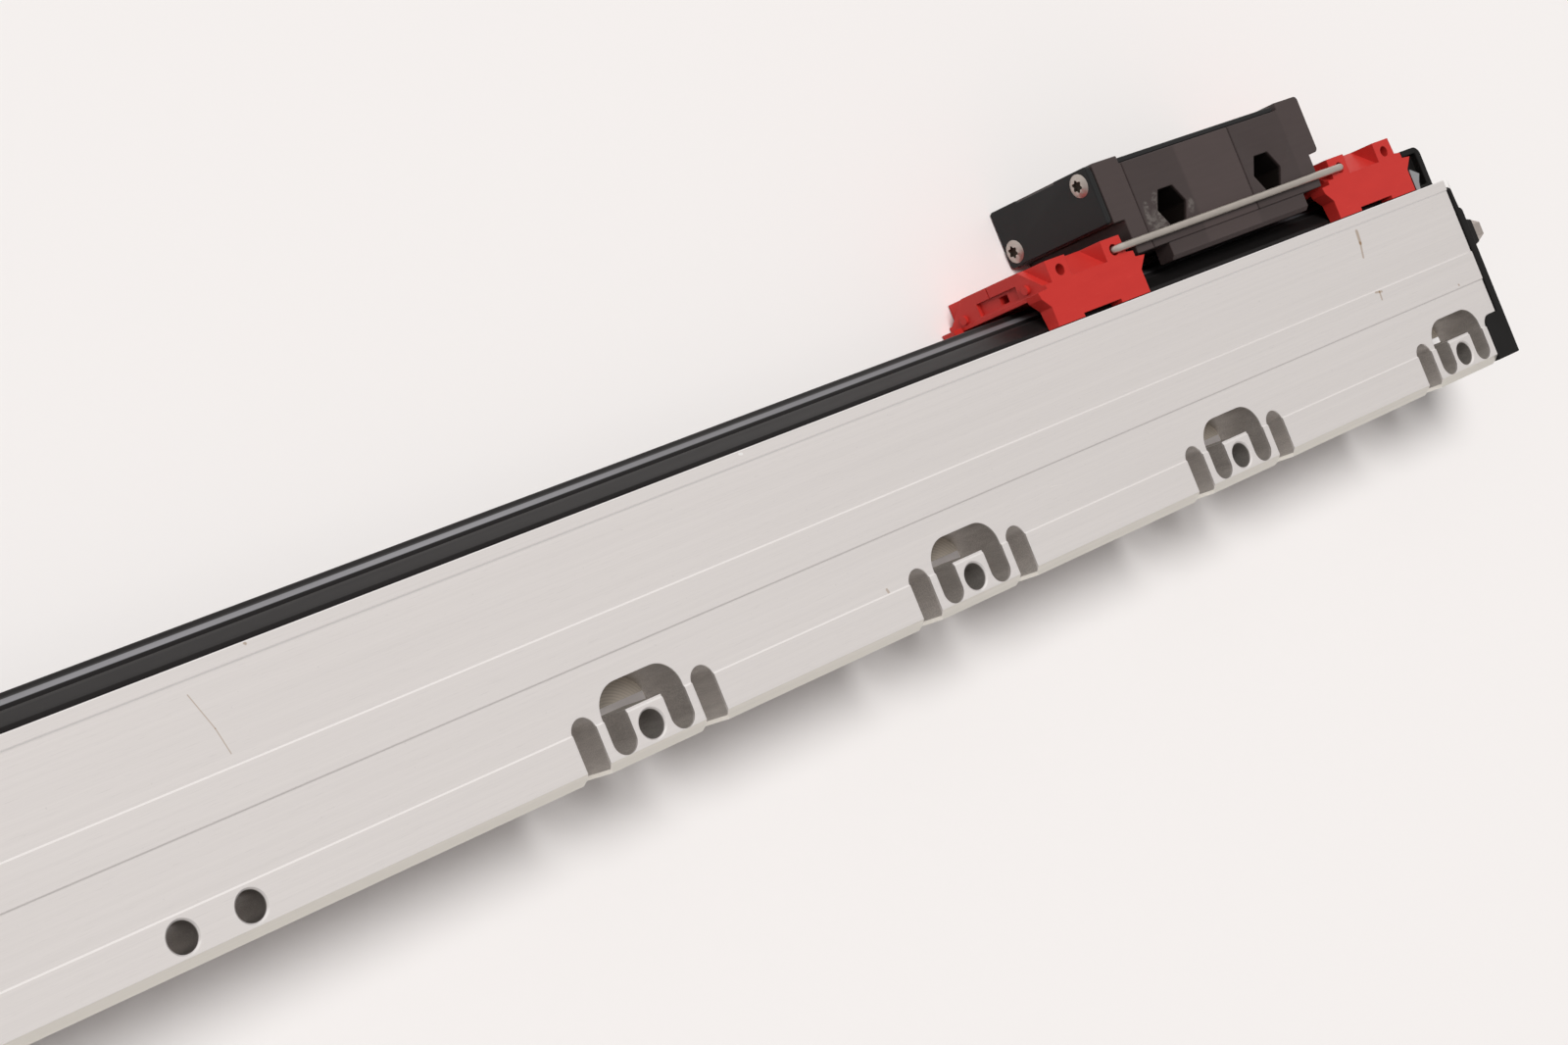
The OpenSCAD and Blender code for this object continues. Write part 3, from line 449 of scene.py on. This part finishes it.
# Moulded black rubber, dusted, with two bands of painted highlight along each lip, near the crest and on the
# ridge before the groove
def lipRubber(s):
    f = Finish("lipRubber")
    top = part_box("housing")[1].y
    grain, cloud = f.noise(0.0002, 2), f.noise((0.02, 0.002, 0.002), 3)
    dust = ramp(f.noise(0.0009, 1, shift=(4, 2, 7)), 0.8, 0.86)
    colour = shadeColour(s["colour"], 0.75 + 0.3 * grain + 0.3 * cloud)
    waves = f.noise((0.06, 1, 1), 2, shift=(0, 3, 0))
    height = (f.y - top) * 1000
    # painted highlights: two bands along the lip are lightened, most at the left end and unevenly along the
    # scale
    for key, share in (("shelf", 0.7), ("shine", 0.9)):
        low, high, tone = s[key]
        fade = ramp(f.x, 0.02, 0.34, share, share * 0.5) * (0.6 + 0.6 * waves)
        colour = blendColour((band(height, low, high, 0.16) * fade).least(1.0), colour, tone)
    colour = blendColour(dust * 0.5, colour, s["dustColour"])
    return f.done(Base_Color=colour, Specular_IOR_Level=0.13, Roughness=0.36 + 0.1 * cloud,
                  Normal=f.bump(grain, 0.000008))


redSettings = {
    "deep": (0.51, 0.024, 0.019, 1),
    "light": (0.585, 0.038, 0.03, 1),
    "scratched": (0.66, 0.1, 0.07, 1),
    "edge": 0.0003,                    # radius that the edges are shaded with
}


# Moulded red plastic, slightly cloudy, with a faint grain and fine scratches
def redPlastic(s):
    f = Finish("redPlastic")
    grain = f.noise(0.0003, 2)
    cloud = f.noise((0.01, 0.004, 0.01), 3)
    scratch = ramp(f.noise((0.005, 0.00015, 0.0004), 1, turn=(0, 0, 0.3)), 0.68, 0.78)
    colour = blendColour(cloud, s["deep"], s["light"])
    colour = blendColour(scratch * 0.3, colour, s["scratched"])
    rounded = f.root.make("ShaderNodeBevel", {"samples": 4}, {"Radius": s["edge"]})
    return f.done(Base_Color=colour, Roughness=0.42 + 0.14 * cloud, Normal=f.bump(grain, 0.00001, rounded),
                  Specular_IOR_Level=0.3)


# near-black brown of the painted shade in the screw recesses
recessShadeColour = (0.07, 0.055, 0.042, 1)


# Bright metal with fine turning or drawing marks, and painted shade where a piece's attribute for it asks:
# darker, less metallic and rougher there
def plainMetal(name, colour, roughness, size=0.0004):
    f = Finish(name)
    grain, cloud = f.noise(size, 2), f.noise(0.003, 2)
    grime = f.root.make("ShaderNodeAttribute", {"attribute_name": "grime"}, output="Fac")
    metal = shadeColour(colour, 0.78 + 0.24 * grain + 0.16 * cloud)
    return f.done(Base_Color=blendColour(grime, metal, recessShadeColour), Metallic=1.0 - 0.4 * grime,
                  Roughness=roughness + 0.12 * grain + 0.3 * grime, Normal=f.bump(grain, 0.000006))


def clearGlass(name, tint):
    f = Finish(name)
    smear = f.noise(0.01, 2)
    return f.done(Base_Color=tint, Roughness=0.02 + 0.05 * smear, Transmission_Weight=1.0, IOR=1.5)


finishes = {
    "brushed_aluminium": brushedAluminium(aluminiumSettings),
    "scale_glass": clearGlass("scaleGlass", (0.85, 0.95, 0.93, 1)),
    "optical_glass": clearGlass("opticalGlass", (0.93, 0.97, 0.98, 1)),
    "lip_rubber": lipRubber(lipSettings),
    "elastic_bond": blackAnodised("elasticBond", 0.05, 0.0, 0.6),
    "seal_rubber": blackAnodised("sealRubber", 0.015, 0.02, 0.6),
    "cap_black": blackAnodised("capBlack", 0.0075, 0.05, 0.5, 0.15),
    "head_black": wornHead(headSettings),
    "cover_black": blackAnodised("coverBlack", 0.011, -0.04, 0.4, 0.25),
    "screw_steel": plainMetal("screwSteel", (0.52, 0.475, 0.435, 1), 0.42),
    "clip_steel": plainMetal("clipSteel", (0.42, 0.43, 0.44, 1), 0.35),
    "wire_steel": plainMetal("wireSteel", (0.56, 0.52, 0.47, 1), 0.34, (0.004, 0.0003, 0.0003)),
    "bearing_steel": plainMetal("bearingSteel", (0.6, 0.59, 0.58, 1), 0.2),
    "socket_metal": plainMetal("socketMetal", (0.5, 0.47, 0.43, 1), 0.36),
    "pin_gold": plainMetal("pinGold", (0.8, 0.58, 0.25, 1), 0.25),
    "circuit_board": blackAnodised("circuitBoard", 0.06, -0.5, 0.4),
    "carriage_metal": plainMetal("carriageMetal", (0.5, 0.5, 0.5, 1), 0.4),
    "led_resin": clearGlass("ledResin", (0.9, 0.9, 0.95, 1)),
    "brace_red": redPlastic(redSettings),
}

slotOf = {part["node"]: part["material_slot"] for part in frame["record"]["subparts"]}
bodyOf = {name: body for body, members in frame["record"]["behaviour"]["bodies"].items() for name in members}
for name, node in nodes.items():
    node.data.materials.clear()
    node.data.materials.append(finishes[slotOf[name]])
print("finishes on", len(slotOf), "nodes")

edgeSettings = {   # width of the broken edges, in metres
    "mounting_block": 0.0003,
    "end_cap_right": 0.00035,
    "end_cap_left": 0.00035,
    "head_lid": 0.0002,
    "end_cover": 0.0003,
}
mergeWithin = 0.000002             # corners nearer than this become one
flatWithin = math.radians(0.5)     # and so do faces that turn less
bevelFrom = math.radians(50)       # edges that turn further are bevelled
bevelSteps = 3
sharpFrom = math.radians(12)       # edges that turn further after that are shaded sharp
ringSharpFrom = math.radians(32)   # the same on the meshes made from rings


# Puts a mesh into the scene in the place of a node, with the node's finish
def standIn(name, mesh, node):
    if not mesh.materials:
        mesh.materials.append(finishes[slotOf[node]])
    piece = addObject(name, mesh)
    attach(piece, bodyOf[node])
    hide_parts(node)


# A merged copy of a node, whose sharp edges are broken by a small rounded bevel
def breakEdges(name, width):
    mesh = nodes[name].data.copy()
    shell = bmesh.new()
    shell.from_mesh(mesh)
    bmesh.ops.remove_doubles(shell, verts=shell.verts, dist=mergeWithin)
    bmesh.ops.dissolve_limit(shell, angle_limit=flatWithin, verts=shell.verts, edges=shell.edges)
    corners = [edge for edge in shell.edges if edge.is_manifold and edge.calc_face_angle() > bevelFrom]
    bmesh.ops.bevel(shell, geom=corners, offset=width, offset_type="OFFSET", segments=bevelSteps,
                    profile=0.5, affect="EDGES", clamp_overlap=False)
    for face in shell.faces:
        face.smooth = True
    mesh.attributes.remove(mesh.attributes["custom_normal"])   # they belong to the unbevelled mesh
    shell.to_mesh(mesh)
    shell.free()
    spots = np.empty(len(mesh.vertices) * 3, dtype=np.float32)
    mesh.vertices.foreach_get("co", spots)
    low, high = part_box(name)
    inside = np.clip(spots.reshape(-1, 3), list(low), list(high))   # no bevel stands outside the node
    mesh.vertices.foreach_set("co", inside.ravel())
    mesh.update()
    mesh.set_sharp_from_angle(angle=sharpFrom)
    standIn(name.replace("_", "") + "Edged", mesh, name)


for name, width in edgeSettings.items():
    breakEdges(name, width)
print("edges broken on", len(edgeSettings), "pieces")


# Cuts each corner of a closed section at a share of its two sides
def roundSection(points, times, cut):
    for _ in range(times):
        after = np.roll(points, -1, axis=0)
        points = np.stack([points + (after - points) * cut, after + (points - after) * cut], axis=1)
        points = points.reshape(-1, 2)
    return points


# A closed surface from a grid of rings: quads between neighbouring rings, and a face over each end
def ringsToMesh(name, grid):
    rings, around = grid.shape[:2]
    row, column = np.meshgrid(np.arange(rings - 1), np.arange(around), indexing="ij")
    beside = (column + 1) % around
    quads = np.stack([row * around + column, row * around + beside,
                      (row + 1) * around + beside, (row + 1) * around + column], axis=-1).reshape(-1, 4)
    ends = [list(range(around))[::-1], list(range((rings - 1) * around, rings * around))]
    mesh = bpy.data.meshes.new(name)
    mesh.from_pydata(grid.reshape(-1, 3).tolist(), [], quads.tolist() + ends)
    shell = bmesh.new()
    shell.from_mesh(mesh)
    bmesh.ops.recalc_face_normals(shell, faces=shell.faces)
    for face in shell.faces:
        face.smooth = True
    shell.to_mesh(mesh)
    shell.free()
    mesh.set_sharp_from_angle(angle=ringSharpFrom)
    return mesh


# Sealing lip: the rounded section carried along the scale, its crest moving in and out by two sines
def sealingLip(name, node, mirrored, s):
    low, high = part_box(node)
    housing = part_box("housing")
    section = roundSection(np.array(s["section"]), s["rounding"], s["cut"]) / 1000
    x = np.linspace(low.x, high.x, s["stations"])[:, None]
    height, depth = section[None, :, 0], section[None, :, 1]
    slow, quick = s["sines"]
    shift = (np.sin(x / slow + 2 * mirrored) + 0.6 * np.sin(x / quick + mirrored)) * s["wander"] / 1000
    bend = np.clip(height * 1000 / s["crest"], 0, 1) ** 3
    y = housing[1].y + height + 0.4 * shift * bend
    z = (shift * 0.5 + s["wander"] / 1000) * bend - depth
    if mirrored:
        z = housing[0].z + housing[1].z - z
    grid = np.stack([x + 0 * z, y + 0 * z, z], axis=-1)
    standIn(name, ringsToMesh(name, grid), node)


sealingLip("lipFront", "lip_front", 0, lipSettings)
sealingLip("lipBack", "lip_back", 1, lipSettings)
print("sealing lips made")

screwSettings = {   # millimetres
    "headRadius": 3.3,
    "headHeight": 1.1,
    "shankRadius": 1.2,
    "shankLength": 6,
    "lobes": 6,
    "lobeDepth": 0.17,
    "recessRadius": 1.42,
    "recessDepth": 0.95,
    "steps": 72,
}


# Screw with a domed head: rings from the bottom of its recess over the dome to the end of its shank.
# A ring's radius is its own radius times one plus the lobe depth times the cosine of six times the angle.
def domedScrew(place, s):
    ball = (s["headRadius"] ** 2 + s["headHeight"] ** 2) / (2 * s["headHeight"])
    domeRadii = np.linspace(s["recessRadius"] * 1.08, s["headRadius"] - 0.12, 7)
    dome = np.sqrt(ball ** 2 - domeRadii ** 2) - ball + s["headHeight"]
    top = dome[0]
    recess, bottom, shank = s["recessRadius"], top - s["recessDepth"], s["shankRadius"]
    # each ring as (radius, height, how much of the lobes it has)
    rings = [(0.02, bottom - 0.35, 0), (recess * 0.55, bottom, 0.6), (recess * 0.93, bottom + 0.1, 1),
             (recess * 0.97, top - 0.12, 1), (recess, top - 0.03, 1)]
    rings += [(radius, height, max(0.0, 1 - n * 0.6))
              for n, (radius, height) in enumerate(zip(domeRadii, dome))]
    rings += [(s["headRadius"], dome[-1] - 0.12, 0), (s["headRadius"], -0.02, 0), (shank, -0.02, 0),
              (shank, 0.3 - s["shankLength"], 0), (shank - 0.3, -s["shankLength"], 0)]
    radius, height, lobe = (np.array(column)[:, None] for column in zip(*rings))
    angle = np.linspace(0, 2 * np.pi, s["steps"], endpoint=False)[None, :]
    reach = radius * (1 + lobe * s["lobeDepth"] * np.cos(s["lobes"] * angle))
    grid = np.stack([-height + 0 * reach, reach * np.cos(angle), reach * np.sin(angle)], axis=-1) / 1000
    return grid + np.array(place), len(rings)


def coverScrews(s):
    low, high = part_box("cover_screws")
    face, half = low.x + s["headHeight"] / 1000, s["headRadius"] / 1000
    grids, grime = [], []
    for place in ((face, high.y - half, high.z - half), (face, low.y + half, low.z + half)):
        grid, rings = domedScrew(place, s)
        grids.append(grid)
        # painted shade in the recess: full on its first four rings, a third on the fifth, none on the dome
        grime.append(np.repeat(np.clip((4.5 - np.arange(rings)) / 1.5, 0, 1), s["steps"]))
    shell = bmesh.new()
    for grid in grids:
        shell.from_mesh(ringsToMesh("screw", grid))
    mesh = bpy.data.meshes.new("coverScrews")
    shell.to_mesh(mesh)
    shell.free()
    mesh.set_sharp_from_angle(angle=ringSharpFrom)
    shadeLayer = mesh.attributes.new("grime", "FLOAT", "POINT")
    shadeLayer.data.foreach_set("value", np.concatenate(grime).astype(np.float32))
    standIn("coverScrews", mesh, "cover_screws")


coverScrews(screwSettings)
print("cover screws made")
